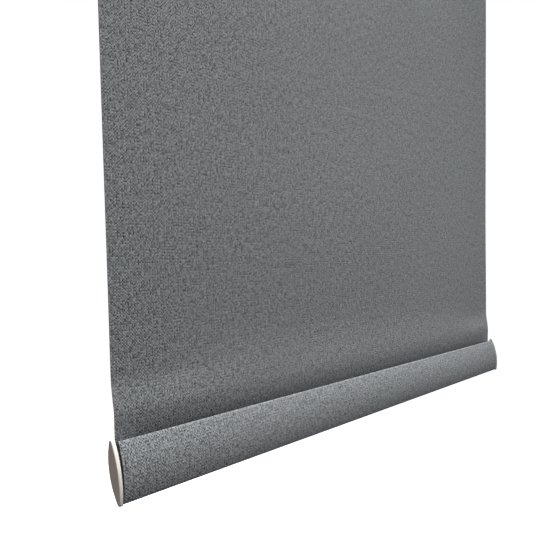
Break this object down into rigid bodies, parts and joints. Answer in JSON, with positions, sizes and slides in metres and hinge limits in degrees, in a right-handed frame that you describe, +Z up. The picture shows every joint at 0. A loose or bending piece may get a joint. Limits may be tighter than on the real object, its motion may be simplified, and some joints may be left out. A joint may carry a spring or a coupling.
{
  "type": "roller blind",
  "caption": "Cordless spring roller blind with a dark woven cloth, a cloth-wrapped lens-shaped bottom bar with white end caps, an aluminium roller tube and covered wall brackets.",
  "frame": {"origin": "centre of the four wall-fixing holes, on the wall plane, level with the roller's axis", "axes": "+X along the roller from the idle end to the spring end, +Y into the wall, +Z up"},
  "size_m": [0.6, 0.0637, 1],
  "materials": {
    "cloth": "fine plain weave, charcoal",
    "bracket_steel": "white powder coat",
    "rivet_steel": "zinc plated",
    "white_plastic": "semi-gloss moulding",
    "tube_aluminium": "mill finish extrusion",
    "adhesive_tape": "double-sided tape",
    "bar_paint": "dark grey powder coat",
    "plug_plastic": "moulded nylon",
    "anchor_plastic": "moulded acetal",
    "pin_steel": "ground steel",
    "spring_steel": "oiled spring wire",
    "cast_zinc": "zinc die casting"
  },
  "bodies": {
    "brackets": {"idle_bracket": "bracket_steel", "spring_bracket": "bracket_steel", "idle_bracket_cover": "white_plastic", "spring_bracket_cover": "white_plastic", "latch_rivet": "rivet_steel", "cloth_panel": "cloth", "thrust_washer": "rivet_steel", "spindle": "cast_zinc", "spindle_rod": "pin_steel", "ratchet_wheel": "cast_zinc", "torsion_spring": "spring_steel", "fixed_spring_anchor": "anchor_plastic", "rod_clip": "rivet_steel"},
    "roller": {"roller_tube": "tube_aluminium", "roll_tape": "adhesive_tape", "cloth_roll": "cloth", "idle_plug": "plug_plastic", "idle_pin_spring": "spring_steel", "pin_spring_retainer": "plug_plastic", "tube_crown": "plug_plastic", "crown_plate": "plug_plastic", "pawl_pins": "rivet_steel", "drive_spring_anchor": "anchor_plastic", "rod_bush": "anchor_plastic"},
    "idle_pin": {"idle_pin": "pin_steel"},
    "rear_pawl": {"rear_pawl": "cast_zinc"},
    "front_pawl": {"front_pawl": "cast_zinc"},
    "bracket_latch": {"bracket_latch": "bracket_steel"},
    "bottom_bar": {"cloth_hem": "cloth", "bottom_bar": "bar_paint", "hem_tape": "adhesive_tape", "left_bar_cap": "white_plastic", "right_bar_cap": "white_plastic"}
  },
  "joints": [
    {"name": "bar_lift", "type": "slide", "parent": "brackets", "child": "bottom_bar", "axis": [0, 0, 1], "range_m": [0, 0.88467], "deforming": ["cloth_panel"]},
    {"name": "roller_turn", "type": "hinge", "parent": "brackets", "child": "roller", "pos_m": [0, -0.04, 0], "axis": [1, 0, 0], "range_deg": [0, 2880.01], "deforming": ["torsion_spring"]},
    {"name": "idle_pin_slide", "type": "slide", "parent": "roller", "child": "idle_pin", "axis": [1, 0, 0], "range_m": [0, 0.008], "stiffness_N_per_m": 600, "springref_m": -0.004, "deforming": ["idle_pin_spring"]},
    {"name": "rear_pawl_swing", "type": "hinge", "parent": "roller", "child": "rear_pawl", "pos_m": [0, -0.0298, 0], "axis": [1, 0, 0], "range_deg": [0, 39]},
    {"name": "front_pawl_swing", "type": "hinge", "parent": "roller", "child": "front_pawl", "pos_m": [0, -0.0502, 0], "axis": [1, 0, 0], "range_deg": [0, 39]},
    {"name": "latch_swing", "type": "hinge", "parent": "brackets", "child": "bracket_latch", "pos_m": [0, -0.03, 0.009], "axis": [-1, 0, 0], "range_deg": [0, 80]}
  ],
  "couplings": [
    {"joint": "roller_turn", "follows": "bar_lift", "rad_per_m": 56.818}
  ]
}
